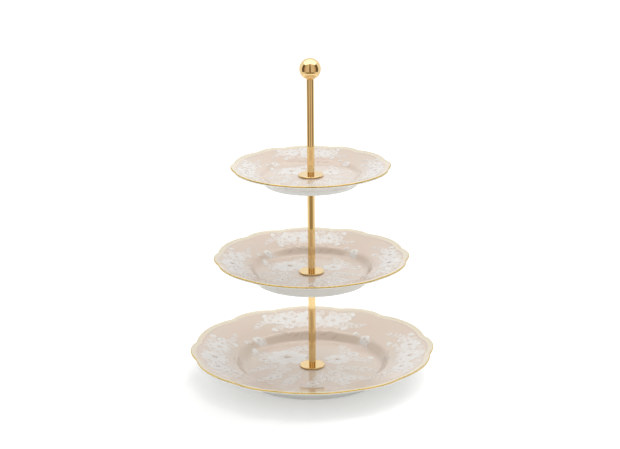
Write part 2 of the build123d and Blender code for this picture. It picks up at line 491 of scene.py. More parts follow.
def build_handling(name):
    """Smudges left by fingers and hairline marks left by wiping, as a change of roughness."""
    tree, given, out = new_group(
        name,
        [("Polish", "Float", 0.08), ("Smudge", "Float", 0.08), ("Smudge Scale", "Float", 60.0),
         ("Hairline Scale", "Float", 900.0)],
        [("Roughness", "Float"), ("Height", "Float")])
    place = object_place(tree)
    blot = noise_at(tree, place, given["Smudge Scale"], -650, 150, Detail=4.0, Roughness=0.6)
    blot = spread(tree, blot, 0.48, 0.72, -420, 150)
    rough = reckon(tree, "MULTIPLY_ADD", 0, 150, blot, given["Smudge"], given["Polish"])
    feed(tree, out["Roughness"], rough)
    drawn_out = add(tree, "Mapping", -650, -200, {"Vector": place, "Scale": (1.0, 1.0, 0.04)})
    hair = noise_at(tree, drawn_out.outputs[0], given["Hairline Scale"], -420, -200, Detail=2.0)
    feed(tree, out["Height"], hair)
    return tree


def build_turning_lines(name):
    """The fine rings that a lathe tool leaves, by height and by radius."""
    tree, given, out = new_group(
        name, [("Spacing", "Float", 0.00025)], [("Height", "Float")])
    axes = add(tree, "SeparateXYZ", -700, -200, {0: object_place(tree, y=-200)}).outputs
    flat = add(tree, "CombineXYZ", -520, -60, {"X": axes["X"], "Y": axes["Y"]})
    radius = add(tree, "VectorMath", -340, -60, {0: flat.outputs[0]}, operation="LENGTH")
    travel = reckon(tree, "ADD", -160, -60, radius.outputs["Value"], axes["Z"])
    turns = reckon(tree, "DIVIDE", 20, -60, travel, given["Spacing"])
    feed(tree, out["Height"], reckon(tree, "SINE", 200, -60, turns))
    return tree


def new_material(name):
    """A material with a Principled shader; returns it with its tree and the shader's inputs."""
    made = bpy.data.materials.new(name)
    made.use_nodes = True
    tree = made.node_tree
    tree.nodes.clear()
    shader = add(tree, "BsdfPrincipled", 600, 0)
    add(tree, "OutputMaterial", 900, 0, {"Surface": shader.outputs["BSDF"]})
    return made, tree, shader.inputs


def material_once(name, build):
    """A material by name, built the first time that it's asked for."""
    return bpy.data.materials.get(name) or build(name)


def bump_from(tree, height, strength, distance, shader):
    bump = add(tree, "Bump", 350, -350,
               {"Strength": strength, "Distance": distance, "Height": height})
    feed(tree, shader["Normal"], bump.outputs["Normal"])


def attribute(tree, name, x, y):
    return add(tree, "Attribute", x, y, attribute_name=name).outputs["Fac"]


def mix_colours(tree, factor, first, second, x, y):
    """A mix whose colours are sockets or plain values."""
    made = add(tree, "Mix", x, y, {"Factor": factor, "A": first, "B": second}, data_type="RGBA")
    return made.outputs["Result"]


def two_tones(tree, first, second, scale, balance, x=-600, y=200):
    """A colour that drifts between two tones."""
    return place_group(tree, "Tone drift", build_tone_drift, x, y, First=first, Second=second,
                       Scale=scale, Balance=balance)["Colour"]


def shade(tone, share):
    return [channel * share for channel in tone]


# ---------------------------------------------------------------- materials

def beige_ground(tree, x, y):
    """The beige ground with its soft drift, as porcelain and enamel both use it."""
    look = bpy.context.scene.stand_porcelain
    return two_tones(tree, look.ground, look.ground_cool, 26.0, 0.9, x, y)


def make_porcelain(name):
    """Glazed porcelain: beige on the face, cream by the edge, white beneath, matt on the foot."""
    look = bpy.context.scene.stand_porcelain
    made, tree, shader = new_material(name)
    inset = look.thread_inset / MM
    edge = attribute(tree, "edge_mm", -900, 200)
    past_thread = spread(tree, edge, inset - 2.6, inset + 1.2, -650, 300, smooth=True)
    ground = beige_ground(tree, -900, 0)
    face = mix_colours(tree, past_thread, look.margin, ground, -400, 200)
    # Painted shade: the beige is darkened to a deeper tone in a narrow line just inside the moulded
    # thread.
    painted_shade = attribute(tree, "painted_thread_shade", -900, -250)
    face = mix_colours(tree, painted_shade, face, shade(look.ground, 0.80), -200, 150)
    front = attribute(tree, "face", -900, -400)
    feed(tree, shader["Base Color"], mix_colours(tree, front, look.body_white, face, 50, 100))
    bisque = attribute(tree, "bisque", -900, -550)
    feed(tree, shader["Roughness"], spread(tree, bisque, 0.0, 1.0, 100, -150, 0.11, 0.75))
    skin = place_group(tree, "Glaze skin", build_glaze_skin, -100, -400)
    bump_from(tree, skin["Height"], 0.12, 0.00012, shader)
    shader["IOR"].default_value = 1.52
    shader["Coat Weight"].default_value = 0.35
    shader["Coat Roughness"].default_value = 0.04
    shader["Subsurface Weight"].default_value = 0.12
    shader["Subsurface Radius"].default_value = (1.0, 0.8, 0.6)
    shader["Subsurface Scale"].default_value = 0.003
    return made


def make_enamel(name):
    """Raised white enamel, thin at the hearts and veins so that the ground shows through."""
    look = bpy.context.scene.stand_flowers
    made, tree, shader = new_material(name)
    ground = beige_ground(tree, -900, 0)
    body = attribute(tree, "enamel", -900, 250)
    grain = add(tree, "TexNoise", -900, 450, {"Scale": 420.0, "Detail": 3.0}).outputs["Fac"]
    uneven = reckon(tree, "MULTIPLY_ADD", -650, 350, grain, 0.35, body)
    cover = spread(tree, uneven, 0.10, 1.15, -450, 300, smooth=True)
    colour = mix_colours(tree, cover, ground, look.enamel, -200, 150)
    veins = attribute(tree, "vein", -900, -250)
    feed(tree, shader["Base Color"], mix_colours(tree, veins, colour, look.line, 100, 100))
    bump_from(tree, grain, 0.2, 0.0001, shader)
    shader["Roughness"].default_value = 0.22
    shader["IOR"].default_value = 1.5
    shader["Coat Weight"].default_value = 0.2
    shader["Coat Roughness"].default_value = 0.06
    return made


def make_metal(name, tones, scale, balance, bump, spacing=None, **marks):
    """A bare metal whose tone drifts and that handling blurs here and there. Its relief is the
    lathe's lines where their spacing is given, or else hairlines."""
    made, tree, shader = new_material(name)
    feed(tree, shader["Base Color"], two_tones(tree, *tones, scale, balance))
    worn = place_group(tree, "Handling", build_handling, -300, -150, **marks)
    feed(tree, shader["Roughness"], worn["Roughness"])
    relief = worn
    if spacing:
        relief = place_group(
            tree, "Turning lines", build_turning_lines, -300, -400, Spacing=spacing)
    bump_from(tree, relief["Height"], *bump, shader)
    shader["Metallic"].default_value = 1.0
    return made


def make_gilding(name):
    """Burnished gold with brush ripples and a little wear."""
    gold = bpy.context.scene.stand_gilding.gold
    return make_metal(name, (gold, shade(gold, 0.86)), 140.0, 0.8, (0.15, 0.00008), Polish=0.22,
                      Smudge=0.14, Smudge_Scale=220.0)


def make_gold_plate(name):
    """Mirror-polished gold plating, with faint turning lines and fingermarks."""
    gold = bpy.context.scene.stand_stem.gold_plate
    return make_metal(name, (gold, shade(gold, 0.92)), 55.0, 0.7, (0.02, 0.00001), 0.00006,
                      Polish=0.055, Smudge=0.07)


def make_raw_brass(name):
    """Brass as it comes off the lathe."""
    brass = bpy.context.scene.stand_stem.raw_brass
    return make_metal(name, (brass, shade(brass, 0.7)), 150.0, 1.0, (0.25, 0.00003), 0.00004,
                      Polish=0.26, Smudge=0.18)


def make_zinc(name):
    """Zinc-plated steel, bright with a crystalline mottle."""
    return make_metal(name, ((0.62, 0.63, 0.65), (0.45, 0.46, 0.48)), 500.0, 1.0,
                      (0.12, 0.00004), Polish=0.24, Smudge=0.16)


def make_dull(name, first, second, roughness, scale):
    """A moulded matt material that drifts between two tones."""
    made, tree, shader = new_material(name)
    feed(tree, shader["Base Color"], two_tones(tree, first, second, scale, 1.0))
    grain = add(tree, "TexNoise", -300, -300, {"Scale": 2500.0, "Detail": 2.0})
    bump_from(tree, grain.outputs["Fac"], 0.3, 0.00005, shader)
    shader["Roughness"].default_value = roughness
    return made


def make_rubber(name):
    return make_dull(name, (0.020, 0.020, 0.021), (0.040, 0.039, 0.038), 0.72, 300.0)


def make_nylon(name):
    return make_dull(name, (0.80, 0.79, 0.75), (0.70, 0.69, 0.65), 0.42, 200.0)


# ---------------------------------------------------------------- plate surfaces

def lobe(angle, middle, peak, half, cusp):
    """Distance from the centre to a lobe's arc through its peak and both cusps."""
    offset = (cusp**2 - peak**2) / (2 * (cusp * math.cos(half) - peak))
    bow = peak - offset
    turn = (angle - middle + math.pi) % FULL_TURN - math.pi
    inside = np.maximum(bow**2 - (offset * np.sin(turn)) ** 2, 0)
    reach = offset * np.cos(turn) + np.sqrt(inside)
    return np.where(np.abs(turn) < half * 1.6, reach, 0)


def outline(plate, angle):
    """The rim's radius at each angle: arcs that meet at softened cusps."""
    cusp = plate.radius * CUSP_SHARE
    wide = narrow = np.zeros_like(angle)
    for k in range(LOBE_PAIRS):
        middle = FIRST_WIDE + k * PAIR
        wide = np.maximum(wide, lobe(angle, middle, plate.radius, WIDE_HALF, cusp))
        narrow = np.maximum(
            narrow, lobe(angle, middle + PAIR / 2, plate.radius * NARROW_SHARE, NARROW_HALF, cusp))
    overlap = np.clip(CUSP_SOFTNESS - np.abs(wide - narrow), 0, None)
    return np.maximum(wide, narrow) + overlap**2 / (4 * CUSP_SOFTNESS) - INSIDE_CAD


def face_section(plate):
    """The face's height at each radius, from the hole to past the edge."""
    corners = [
        (HOLE, plate.floor, 0),
        (plate.well, plate.floor, 9.0),
        (plate.shoulder, plate.shoulder_z, 10.0),
        (*plate.past_edge, 0),
    ]
    return np.array(rounded(corners, False, steps=12))


def back_section(plate):
    """The underside from past the edge to the hole, with the foot ring."""
    foot = plate.foot
    radius, height = plate.past_edge
    corners = [
        (radius, height - RIM_EDGE, 0),
        (plate.shoulder + WALL * 0.5, plate.shoulder_z - WALL, 10.0),
        (foot + 1.4, plate.clearance, 0.5),
        (foot, 0, 1.08),
        (foot - 3.6, 0, 1.08),
        (foot - 5.0, plate.clearance, 0.8),
        (HOLE, plate.clearance, 0),
    ]
    return np.array(rounded(corners, False, steps=7))


def moulding(inset, depth, angle):
    """The raised thread that follows the edge, the hollow outside it, and the shallow flute that
    runs in from each cusp, at a depth in from the edge."""
    height = bpy.context.scene.stand_porcelain.thread_height / MM
    relief = height * swell(depth - inset, BEAD_WIDTH)
    relief -= HOLLOW_DEPTH * swell(depth - inset * 0.52, HOLLOW_WIDTH)
    fade = smoothstep(24.0, 4.0, depth) * smoothstep(0.0, 2.0, depth)
    for side in (-1, 1):
        turn = (angle - FIRST_WIDE - side * WIDE_HALF + PAIR / 2) % PAIR - PAIR / 2
        relief -= FLUTE_DEPTH * swell(turn, FLUTE_WIDTH) * fade
    return relief


class PlateFace:
    """Heights on a plate's face, for the plate itself and for what is laid on it."""

    def __init__(self, plate):
        self.plate = plate
        section = face_section(plate)
        self.radii, self.heights = section[:, 0], section[:, 1]
        self.inset = bpy.context.scene.stand_porcelain.thread_inset / MM

    def height(self, radius, angle):
        depth = outline(self.plate, angle) - radius
        mould = moulding(self.inset, depth, angle)
        return np.interp(radius, self.radii, self.heights) + mould + self.plate.foot_z

    def lay(self, x, y):
        """Points on the face above (x, y), with the face's normals there."""
        def z_at(px, py):
            return self.height(np.hypot(px, py), np.arctan2(py, px))

        step = 0.2
        z = z_at(x, y)
        slope_x = (z_at(x + step, y) - z_at(x - step, y)) / (2 * step)
        slope_y = (z_at(x, y + step) - z_at(x, y - step)) / (2 * step)
        normal = np.stack([-slope_x, -slope_y, np.ones_like(z)], -1)
        normal /= np.linalg.norm(normal, axis=-1, keepdims=True)
        return np.stack([x, y, z], -1), normal


def plate_rows(plate, columns):
    """The plate as rows of points round it: out over the face, round the edge, and back beneath.
    Returns the points and, for each, the distance from the edge, the side and the foot mask."""
    angle = round_turn(columns)
    rim = outline(plate, angle)
    face = PlateFace(plate)
    back = back_section(plate)
    order = np.argsort(back[:, 0], kind="stable")
    rows = []

    def add_row(radius, height, side, foot=0.0):
        radius, height = radius + 0 * angle, height + 0 * angle
        points = np.stack([radius * np.cos(angle), radius * np.sin(angle), height], -1)
        rows.append((points, rim - radius, np.full(columns, side), np.full(columns, foot)))

    def add_face_row(radius):
        add_row(radius, face.height(radius, angle), 1.0)

    def under(radius):
        return np.interp(radius, back[order, 0], back[order, 1]) + plate.foot_z

    inner = [r for r in face.radii if r < plate.shoulder + 8]
    inner += list(np.linspace(inner[0], plate.well - 8, 9)[1:])
    inner = sorted(set(np.round(inner, 3)))
    for r in inner:
        add_face_row(r)
    for share in np.linspace(0, 1, 11)[1:-1]:
        add_face_row(inner[-1] + (rim - MOULDED_ROWS[0] - inner[-1]) * share)
    for depth in MOULDED_ROWS:
        add_face_row(rim - depth)
    above = rows[-1][0][:, 2]
    below = under(rim - EDGE_ROUND)
    quarter = np.linspace(0, math.pi / 2, 6)
    for a in quarter[1:]:
        add_row(rim - EDGE_ROUND * (1 - math.sin(a)), above - EDGE_ROUND * (1 - math.cos(a)), 1.0)
    for a in quarter[::-1]:
        add_row(rim - EDGE_ROUND * (1 - math.sin(a)), below + EDGE_ROUND * (1 - math.cos(a)), 0.0)
    turn_in = plate.shoulder + 14
    for share in np.linspace(0, 1, 14)[1:]:
        radius = (rim - EDGE_ROUND) + (turn_in - rim + EDGE_ROUND) * share
        add_row(radius, under(radius), 0.0)
    for r, z in back:
        if r < turn_in - 0.5:
            add_row(r, z + plate.foot_z, 0.0, 1.0 if z < 0.6 else 0.0)
    return [np.array(column) for column in zip(*rows)]


def build_plate(plate, material):
    look = bpy.context.scene.stand_porcelain
    rows, depth, side, foot = plate_rows(plate, look.columns)
    faces = grid_faces(*depth.shape, True, True)
    piece = new_piece(plate.node + "_glazed", rows.reshape(-1, 3), faces, plate.body, material, 50)
    # Painted shade: a mask, on the face only, for a narrow darker line just inside the moulded
    # thread.
    thread_shade = 0.25 * swell(depth - look.thread_inset / MM - 1.1, 0.7) * side
    write_attribute(piece, "edge_mm", depth)
    write_attribute(piece, "face", side)
    write_attribute(piece, "bisque", foot)
    write_attribute(piece, "painted_thread_shade", thread_shade)
    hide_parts(plate.node)


def build_gilt_band(plate, material):
    """A thin skin of gold over the plate's edge, with its two borders sunk into the glaze."""
    look = bpy.context.scene.stand_gilding
    columns = bpy.context.scene.stand_porcelain.columns
    rows, depth, side, _ = plate_rows(plate, columns)
    picked = rows[(side[:, 0] > 0.5) & (depth.max(1) <= look.band / MM + 0.1)]
    picked = np.concatenate([picked, picked[-1:] - (0, 0, 0.45)])
    along = np.roll(picked, -1, axis=1) - np.roll(picked, 1, axis=1)
    across = np.gradient(picked, axis=0)
    normal = np.cross(across, along)
    normal /= np.linalg.norm(normal, axis=-1, keepdims=True)
    lift = np.full(len(picked), look.film / MM)
    lift[0] = lift[-1] = -0.03
    wobble = 0.12 * np.sin(round_turn(columns) * 23 + plate.seed)
    picked[0, :, :2] *= 1 + (wobble / plate.radius)[:, None]
    outer = picked + normal * lift[:, None, None]
    inner = picked[::-1] - normal[::-1] * 0.12
    shell = np.concatenate([outer, inner])
    faces = grid_faces(len(shell), columns, True, True)
    piece = new_piece(
        plate.node + "_gilding", shell.reshape(-1, 3), faces, plate.body, material, 60)


# ---------------------------------------------------------------- flowers

def curve_through(points):
    """Polynomials for x and y whose curve passes through a few points as it runs from 0 to 1."""
    points = np.array(points, float)
    shares = np.linspace(0, 1, len(points))
    return [np.polyfit(shares, points[:, axis], len(points) - 1) for axis in (0, 1)]


def step_from(spot, heading, reach):
    return (spot[0] + reach * math.cos(heading), spot[1] + reach * math.sin(heading))


class Spray:
    """Collects petals, leaves and stems in the plane, then lays them on a plate's face."""

    def __init__(self, relief, seed):
        self.relief = relief
        self.dice = random.Random(seed)
        self.flat, self.lift, self.white, self.vein = [], [], [], []

    def patch(self, x, y, rise, white, vein):
        """One raised patch: a grid of points with the height of its crown."""
        self.flat.append(np.stack([x, y], -1))
        self.lift.append(rise)
        self.white.append(white)
        self.vein.append(vein)

    def petal(self, root, heading, length, width, layer, pointed=False, curl=0.0, white=1.0,
              vein=0.0):
        """A petal or leaf from its root, bulging to its width and rounded or drawn to a point."""
        fine = length > 8.5
        u = np.linspace(0.0, 1.0, 9 if fine else 6)[:, None]
        v = np.linspace(-1.0, 1.0, 7 if fine else 5)[None, :]
        fullness = 0.85 if pointed else 1.35
        belly = np.sin(np.pi * (0.04 + 0.92 * u) ** fullness) ** (1.15 if pointed else 0.62)
        half = width * belly * (1 if pointed else 1 + 0.06 * np.cos(v * 5))
        swing = heading + curl * (u - 0.2)
        spine = length * np.diff(u[:, 0], prepend=0)[:, None]
        notch = 0 if pointed else 0.07 * length * u**4 * (1 - v**2)
        x = root[0] + np.cumsum(spine * np.cos(swing), 0) - notch * np.cos(swing)
        y = root[1] + np.cumsum(spine * np.sin(swing), 0) - notch * np.sin(swing)
        x = x - v * half * np.sin(swing)
        y = y + v * half * np.cos(swing)
        crown = (1 - v**2) ** 0.5 * np.sin(np.pi * np.clip(u, 0.02, 0.98)) ** 0.5
        if pointed:
            crown = crown * (0.7 + 0.35 * np.abs(v))
            ribs = 0.3 * swell(v, 0.16) * (1 - u)
            body = white * (0.55 + 0.45 * np.abs(v)) + 0 * u
        else:
            crown = crown * (1 + 0.18 * np.cos(v * 9) * u)
            ribs = 0.22 * swell(u, 0.22) + 0 * v
            body = white * (0.45 + 0.55 * u**0.8) + 0 * v
        rise = self.relief * (layer + 1.6 * crown)
        low = self.relief * (layer + 0.25)
        rise[0], rise[-1], rise[:, 0], rise[:, -1] = low, low, low, low
        self.patch(x, y, rise, body, np.clip(ribs + vein, 0, 1))

    def stem(self, points, width, white=0.75):
        """A thin raised line along a smooth curve through a few points."""
        t = np.linspace(0, 1, 4 * len(points) + 3)
        x, y = (np.polyval(fit, t) for fit in curve_through(points))
        heading = np.arctan2(np.gradient(y), np.gradient(x))[:, None]
        v = np.linspace(-1, 1, 5)[None, :]
        half = width * (1 - 0.55 * t)[:, None]
        px = x[:, None] - v * half * np.sin(heading)
        py = y[:, None] + v * half * np.cos(heading)
        rise = self.relief * (0.2 + 0.9 * (1 - v**2)) * np.ones_like(half)
        self.patch(px, py, rise, np.full(px.shape, white), np.zeros(px.shape))

    def blossom(self, centre, size, rings=3, petals=6, white=1.0, layer=0.0):
        """An open flower: rings of petals that shrink towards a small heart."""
        turn = self.dice.uniform(0, FULL_TURN)
        for ring in range(rings):
            share = 1 - ring / (rings + 0.35)
            count = petals - (ring > 1)
            for k in range(count):
                a = turn + FULL_TURN * k / count + self.dice.uniform(-0.1, 0.1)
                root = step_from(centre, a, size * 0.10)
                length = size * share * self.dice.uniform(0.82, 0.98)
                width = length * 2.4 / petals * self.dice.uniform(0.95, 1.15)
                self.petal(root, a, length, width, layer + ring * 1.1 + 0.25 * (k % 2), False,
                           self.dice.uniform(-0.15, 0.15), white)
            turn += math.pi / count + 0.2
        self.heart(centre, size * 0.16, layer + rings * 1.1)

    def heart(self, centre, size, layer):
        """A domed heart, with a ring of seeds about it where the flower is large."""
        if size > 1.3:
            for k in range(7):
                a = FULL_TURN * k / 7
                spot = step_from(centre, a, size * 0.85)
                self.petal(spot, a, size * 0.55, size * 0.24, layer, False, 0, 0.8)
        self.petal((centre[0] - size * 0.6, centre[1]), 0.0, size * 1.2, size * 0.55, layer + 0.4,
                   False, 0, 0.45)

    def cluster(self, spots, sizes):
        """A bunch of small five-petalled flowers, packed so that they overlap like a posy."""
        for i, (spot, size) in enumerate(zip(spots, sizes)):
            self.blossom(spot, size, 1, 5, self.dice.uniform(0.75, 1.0), 0.35 * (i % 3))

    def bud(self, root, heading, size):
        """Two outer petals over a middle one, held in two small leaves."""
        for side, lift in ((-0.45, 0.2), (0.45, 0.4), (0.0, 0.9)):
            self.petal(root, heading + side * 0.8, size, size * 0.34, lift, False, -side * 0.8)
        for side in (-1, 1):
            self.petal(root, heading + side * 0.9, size * 0.5, size * 0.14, 1.2, True, -side, 0.6)

    def twig(self, points, leaf, pairs, white=0.75):
        """A stem with paired leaves that shrink towards its tip."""
        self.stem(points, leaf * 0.05, white)
        fit_x, fit_y = curve_through(points)
        for i in range(pairs):
            t = 0.22 + 0.70 * i / max(pairs - 1, 1)
            spot = (np.polyval(fit_x, t), np.polyval(fit_y, t))
            heading = math.atan2(np.polyval(np.polyder(fit_y), t), np.polyval(np.polyder(fit_x), t))
            size = leaf * (1 - 0.45 * t) * self.dice.uniform(0.85, 1.1)
            for side in (-1, 1):
                tilt = side * self.dice.uniform(0.6, 0.95)
                self.petal(spot, heading + tilt, size, size * 0.24, 0.15, True, -tilt * 0.5, white)
        tip = (np.polyval(fit_x, 1.0), np.polyval(fit_y, 1.0))
        self.petal(tip, heading, leaf * 0.6, leaf * 0.15, 0.2, True, 0, white)

    def lay_on(self, face, name, body, material):
        """Turns every patch into a closed low shell on the plate and joins them in one piece."""
        vertices, faces, white, vein = [], [], [], []
        first = 0
        for flat, rise, body_white, ribs in zip(self.flat, self.lift, self.white, self.vein):
            rows, columns = rise.shape
            on_face, normal = face.lay(flat[..., 0], flat[..., 1])
            top = on_face + normal * rise[..., None]
            under = on_face - normal * 0.12
            vertices += [top.reshape(-1, 3), under.reshape(-1, 3)]
            size = rows * columns
            top_faces = grid_faces(rows, columns, False, False, first)
            faces += [f[::-1] for f in top_faces]
            faces += [tuple(i + size for i in f) for f in top_faces]
            border = list(range(columns))
            border += [i * columns + columns - 1 for i in range(1, rows)]
            border += [(rows - 1) * columns + j for j in range(columns - 2, -1, -1)]
            border += [i * columns for i in range(rows - 2, 0, -1)]
            for a, b in zip(border, border[1:] + border[:1]):
                faces.append((first + a, first + b, first + b + size, first + a + size))
            white += [body_white.ravel()] * 2
            vein += [ribs.ravel()] * 2
            first += 2 * size
        piece = new_piece(name, np.concatenate(vertices), faces, body, material, 50)
        write_attribute(piece, "enamel", np.concatenate(white))
        write_attribute(piece, "vein", np.concatenate(vein))


def round_plate(radius, degrees, across=0.0, along=0.0):
    """A point by radius and angle, moved outwards by across and round by along, in millimetres."""
    a = math.radians(degrees) + along / radius
    r = radius + across
    return (r * math.cos(a), r * math.sin(a))


def rim_bouquet(spray, plate, degrees, stretch):
    """The large bouquet on the rim: open flowers in a drift of small ones, among leaves, with
    leafy twigs and buds that trail from both ends."""
    scale = plate.scale
    middle = plate.radius * 0.805
    dice = spray.dice

    def at(along, across):
        return round_plate(middle, degrees, across * scale, along * scale * stretch)

    for along in range(-42, 43, 7):
        for side in (-1, 1):
            root = at(along + dice.uniform(-3, 3), side * 7)
            heading = math.atan2(root[1], root[0]) + (0 if side > 0 else math.pi)
            heading += dice.uniform(-0.8, 0.8)
            spray.petal(root, heading, 10.0 * scale, 2.8 * scale, 0.0, True,
                        dice.uniform(-0.6, 0.6), 0.62)
    for side in (-1, 1):
        start, bend = at(side * 34, 2), at(side * 50, side * 5 - 2)
        spray.twig([start, bend, at(side * 66, -3)], 9.5 * scale, 5)
        for across in (10, -11):
            tip = at(side * 44, across)
            spray.stem([start, tip], 0.45 * scale)
            spray.bud(tip, math.atan2(tip[1] - start[1], tip[0] - start[0]), 7.5 * scale)
    spots, sizes = [], []
    for i in range(20):
        along = -45 + 90 * (i + dice.uniform(-0.3, 0.3)) / 19
        spots.append(at(along, dice.uniform(-1, 1) * (13 - 0.12 * abs(along))))
        sizes.append(dice.uniform(4.6, 6.8) * scale)
    spray.cluster(spots, sizes)
    for along, across, size in ((-29, -2.0, 12.5), (27, 3.0, 12.0)):
        spray.blossom(at(along, across), size * scale, 2, 7)
    spray.blossom(at(0, 0.5), 16.0 * scale, 3, 8)


def rosy_leaves(spray, plate, degrees, count):
    """A run of rosy brown leaves along the wall of the well."""
    scale = plate.scale
    for k in range(count):
        along = (k - (count - 1) / 2) * 6.5
        root = round_plate(plate.radius * 0.617, degrees, (k % 2) * 3.0 * scale, along * scale)
        heading = math.radians(degrees + 90) + spray.dice.uniform(-0.6, 0.6)
        spray.petal(root, heading, 8.5 * scale, 1.25 * scale, 0.0, True, 0.3, 0.1, 0.5)


def wall_sprig(spray, plate, degrees):
    """A small flower on a leafy stem across the wall of the well."""
    scale = plate.scale
    middle = plate.radius * 0.62
    points = [round_plate(middle, degrees, across * scale, along * scale)
              for across, along in ((-7, -12), (0, 0), (4, 14))]
    spray.twig(points, 7.0 * scale, 3)
    spray.blossom(round_plate(middle, degrees, 1.5 * scale, 1 * scale), 6.2 * scale, 2, 5)
    spray.bud(points[-1], math.radians(degrees + 80), 5.5 * scale)


def well_bouquet(spray, plate):
    """The bouquet in the well: a full flower behind the stem, a lesser one, and leafy sprays."""
    scale = plate.scale
    clear, full = 15.0, 75.0
    stretch = (plate.well - clear) / (full - clear)

    def at(x, y):
        """A point of the bottom plate's bouquet, drawn in so that all keep clear of the disc."""
        reach = math.hypot(x, y)
        share = (clear + (reach - clear) * stretch) / reach
        return (x * share, y * share)

    sprays = (
        [(-24, 22), (-40, 32), (-60, 34)],
        [(-24, 22), (-22, 44), (-6, 60)],
        [(24, 10), (42, 20), (60, 14)],
        [(24, 10), (36, 34), (34, 54)],
        [(-16, -4), (-34, -16), (-52, -38)],
        [(-16, -4), (-44, -2), (-64, -12)],
        [(16, -6), (30, -26), (52, -36)],
        [(10, -18), (8, -38), (-6, -60)],
        [(16, -6), (40, -8), (64, -14)],
        [(-12, -18), (-22, -38), (-30, -56)],
        [(12, -22), (28, -44), (36, -54)],
    )
    for points in sprays:
        spray.twig([at(*p) for p in points], 15.0 * scale, 5)
    posies = ((-54, 20), (-47, 12), (46, 34), (-38, -30), (-45, -36), (34, -42), (42, -36),
              (0, -52), (-10, 50))
    spray.cluster([at(*p) for p in posies], [6.6 * scale] * len(posies))
    for x, y, turn in ((-60, 38, 2.6), (60, 20, 0.4), (54, -42, -0.5), (-54, -40, 3.8)):
        spray.bud(at(x, y), turn, 8.5 * scale)
    spray.blossom(at(28, 18), 15.0 * scale, 2, 7)
    spray.blossom(at(-28, 26), 23.0 * scale, 3, 9)


def build_flowers(plate, material):
    spray = Spray(bpy.context.scene.stand_flowers.relief / MM, plate.seed)
    for degrees, stretch in ((92, 1.0), (-6, 1.1), (186, 1.1)):
        rim_bouquet(spray, plate, degrees, stretch)
    for degrees in (44, 136, 228, 270, 312):
        wall_sprig(spray, plate, degrees)
    for degrees, count in ((78, 5), (102, 6), (140, 3), (0, 4), (180, 4)):
        rosy_leaves(spray, plate, degrees, count)
    well_bouquet(spray, plate)
    spray.lay_on(PlateFace(plate), plate.node + "_flowers", plate.body, material)


# ---------------------------------------------------------------- stem pieces

def threaded_pin(name, start, length, crest, body, material):
    """A pin with a helical thread and tapered ends, up from a start height."""
    columns, steps = 40, 10
    pitch = bpy.context.scene.stand_stem.thread_pitch / MM
    rows = int(length / pitch * steps) + 1
    angle = round_turn(columns)[None, :]
    z = np.linspace(0, length, rows)[:, None]
    phase = (z / pitch - angle / FULL_TURN) % 1.0
    groove = np.clip(1.25 - np.abs(phase - 0.5) * 2.5, 0, 1)
    taper = crest - THREAD_TAPER + np.minimum(z, length - z)
    radius = np.minimum(crest - THREAD_DEPTH * groove, taper)
    grid = np.stack([radius * np.cos(angle), radius * np.sin(angle), start + z + 0 * angle], -1)
    vertices = [*grid.reshape(-1, 3), (0, 0, start), (0, 0, start + length)]
    faces = grid_faces(rows, columns, False, True)
    last, foot = (rows - 1) * columns, rows * columns
    for a in range(columns):
        b = (a + 1) % columns
        faces += [(b, a, foot), (last + a, last + b, foot + 1)]
    return new_piece(name, vertices, faces, body, material, 60)


def build_stud(node, body, material):
    low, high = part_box(node)
    length = (high.z - low.z) / MM
    piece = threaded_pin(
        node + "_threaded", low.z / MM, length, high.x / MM, body, material)
    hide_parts(node)


def cut_with(piece, tool):
    """Takes the tool's shape out of a piece and removes the tool."""
    cut = piece.modifiers.new("Recess", "BOOLEAN")
    cut.operation = "DIFFERENCE"
    cut.solver = "EXACT"
    cut.object = tool
    graph = bpy.context.evaluated_depsgraph_get()
    carved = bpy.data.meshes.new_from_object(piece.evaluated_get(graph))
    piece.modifiers.clear()
    old = piece.data
    piece.data = carved
    bpy.data.meshes.remove(old)
    bpy.data.objects.remove(tool)


def cross_recess(z, reach, width, depth):
    """A tapered cross to cut a screw's drive, pointing up from height z."""
    levels = ((z - 0.3, reach * 1.15, width / 2), (z + depth, reach * 0.45, width * 0.35))
    vertices = []
    for level, arm, flank in levels:
        vertices += [(arm, -flank, level), (arm, flank, level), (flank, flank, level)]
        for _ in range(3):
            vertices += [(-y, x, level) for x, y, _ in vertices[-3:]]
    count = len(vertices) // 2
    faces = [tuple(range(count))[::-1], tuple(range(count, 2 * count))]
    faces += [(i, (i + 1) % count, count + (i + 1) % count, count + i) for i in range(count)]
    mesh = bpy.data.meshes.new("cross")
    mesh.from_pydata((np.array(vertices) * MM).tolist(), [], faces)
    return place_object("cross", mesh)


# ---------------------------------------------------------------- operators

class StandOperator:
    """What all the stand's operators share"""
    bl_options = {"REGISTER", "UNDO"}


class STAND_OT_stage(StandOperator, bpy.types.Operator):
    """Lays the table top, hangs the soft lights and sets the camera"""
    bl_idname = "stand.stage"
    bl_label = "Stage"

    def execute(self, context):
        look = context.scene.stand_studio
        build_table(look)
        light_studio(look)
        set_camera(look)
        context.scene.view_settings.view_transform = "Standard"
        return {"FINISHED"}


def build_table(look):
    corners = [(x * TABLE_HALF, y * TABLE_HALF, 0) for x, y in ((-1, -1), (1, -1), (1, 1), (-1, 1))]
    mesh = bpy.data.meshes.new("table_top")
    mesh.from_pydata(corners, [], [(0, 1, 2, 3)])
    table = place_object("table_top", mesh)
    made, tree, shader = new_material("Table white")
    feed(tree, shader["Base Color"], two_tones(tree, look.floor, shade(look.floor, 0.99), 2.0, 0.3))
    shader["Roughness"].default_value = 0.6
    shader["Specular IOR Level"].default_value = 0.2
    shader["Emission Color"].default_value = (*WHITE, 1)
    shader["Emission Strength"].default_value = look.glow
    dim_in_mirrors(tree)
    mesh.materials.append(made)


